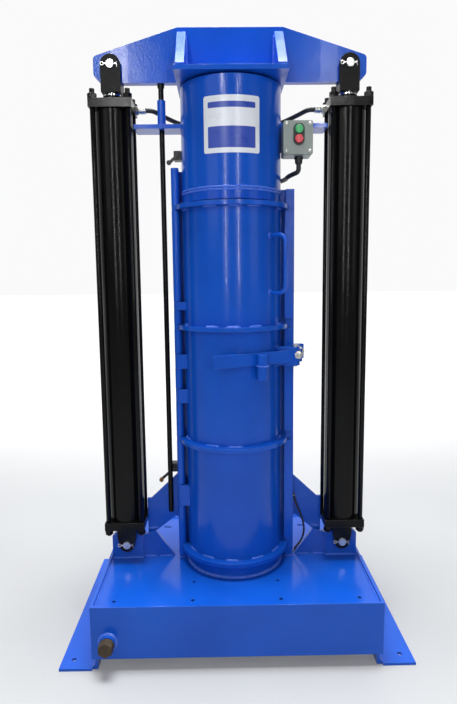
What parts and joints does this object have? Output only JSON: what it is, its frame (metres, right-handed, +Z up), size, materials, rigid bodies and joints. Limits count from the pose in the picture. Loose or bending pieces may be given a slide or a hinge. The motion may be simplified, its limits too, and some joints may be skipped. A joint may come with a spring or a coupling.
{
  "type": "hydraulic crusher press",
  "caption": "Upright hydraulic crusher: tie-rod cylinders pull a crosshead and ram down into a round chamber with a hinged half-round door.",
  "frame": {"origin": "on the floor at the chamber's axis, which is the centre of the four anchor holes", "axes": "+Z up along the chamber axis and the ram travel; the door faces -Y; +X is to the right of someone facing the door"},
  "size_m": [1.021, 0.674, 1.844],
  "materials": {
    "blue_enamel": "gloss",
    "black_enamel": "gloss",
    "cast_iron_black": "satin",
    "zinc_steel": "satin",
    "chrome_rod": "polished",
    "bare_steel": "satin",
    "grey_polyester": "satin",
    "black_plastic": "satin",
    "black_rubber": "matte",
    "green_lens": "gloss",
    "red_lens": "gloss",
    "brown_iron": "satin"
  },
  "bodies": {
    "frame": {"anvil_plate": "bare_steel", "box_gland": "black_plastic", "box_lid": "grey_polyester", "button_bezel": "black_plastic", "catch_stud": "zinc_steel", "chamber_tube": "blue_enamel", "control_box": "grey_polyester", "control_cable": "black_rubber", "deck_plate": "blue_enamel", "drain_plug": "brown_iron", "front_apron": "blue_enamel", "guide_bar": "blue_enamel", "hinge_knuckles": "blue_enamel", "hinge_pin": "blue_enamel", "hose_fittings": "zinc_steel", "left_barrel": "black_enamel", "left_base_cap": "black_enamel", "left_head_cap": "black_enamel", "left_hose": "black_rubber", "left_jamb": "blue_enamel", "left_lower_pin": "zinc_steel", "left_lug": "blue_enamel", "left_side": "blue_enamel", "left_tie_rods": "black_enamel", "left_wing": "blue_enamel", "lower_switch_body": "black_plastic", "rear_apron": "blue_enamel", "right_barrel": "black_enamel", "right_base_cap": "black_enamel", "right_head_cap": "black_enamel", "right_hose": "black_rubber", "right_jamb": "blue_enamel", "right_lower_pin": "zinc_steel", "right_lug": "blue_enamel", "right_side": "blue_enamel", "right_tie_rods": "black_enamel", "right_wing": "blue_enamel", "tee_block": "bare_steel", "upper_switch_body": "black_plastic"},
    "crosshead": {"cross_plate": "blue_enamel", "head_plate": "blue_enamel", "gussets": "blue_enamel", "ram": "blue_enamel", "trip_rod": "black_enamel", "left_piston_rod": "chrome_rod", "right_piston_rod": "chrome_rod", "left_rod_clevis": "cast_iron_black", "right_rod_clevis": "cast_iron_black", "left_upper_pin": "zinc_steel", "right_upper_pin": "zinc_steel"},
    "door": {"door_shell": "blue_enamel", "door_ribs": "blue_enamel", "door_handle": "blue_enamel", "latch_pin": "zinc_steel"},
    "latch_lever_arm": {"latch_lever": "blue_enamel"},
    "green_push": {"green_button": "green_lens"},
    "red_push": {"red_button": "red_lens"},
    "upper_trip_arm": {"upper_switch_arm": "black_plastic"},
    "lower_trip_arm": {"lower_switch_arm": "black_plastic"}
  },
  "joints": [
    {"name": "crosshead_lift", "type": "slide", "parent": "frame", "child": "crosshead", "axis": [0, 0, 1], "range_m": [0, 1.0668]},
    {"name": "door_hinge", "type": "hinge", "parent": "frame", "child": "door", "pos_m": [-0.172, -0.026, 0.9], "axis": [0, 0, -1], "range_deg": [0, 95]},
    {"name": "latch_lever_hinge", "type": "hinge", "parent": "door", "child": "latch_lever_arm", "pos_m": [0.18982, -0.08363, 0.8675], "axis": [0, 0, 1], "range_deg": [0, 100]},
    {"name": "green_button_press", "type": "slide", "parent": "frame", "child": "green_push", "axis": [0, 1, 0], "range_m": [0, 0.003], "stiffness_N_per_m": 800, "springref_m": -0.001},
    {"name": "red_button_press", "type": "slide", "parent": "frame", "child": "red_push", "axis": [0, 1, 0], "range_m": [0, 0.003], "stiffness_N_per_m": 800, "springref_m": -0.001},
    {"name": "upper_trip_arm_hinge", "type": "hinge", "parent": "frame", "child": "upper_trip_arm", "pos_m": [-0.1655, 0.01, 1.483], "axis": [0, 1, 0], "range_deg": [-20, 0], "stiffness_Nm_per_rad": 0.5, "springref_deg": 5.73},
    {"name": "lower_trip_arm_hinge", "type": "hinge", "parent": "frame", "child": "lower_trip_arm", "pos_m": [-0.1965, 0.01, 0.484], "axis": [0, 1, 0], "range_deg": [0, 30], "stiffness_Nm_per_rad": 0.5, "springref_deg": -5.73}
  ]
}
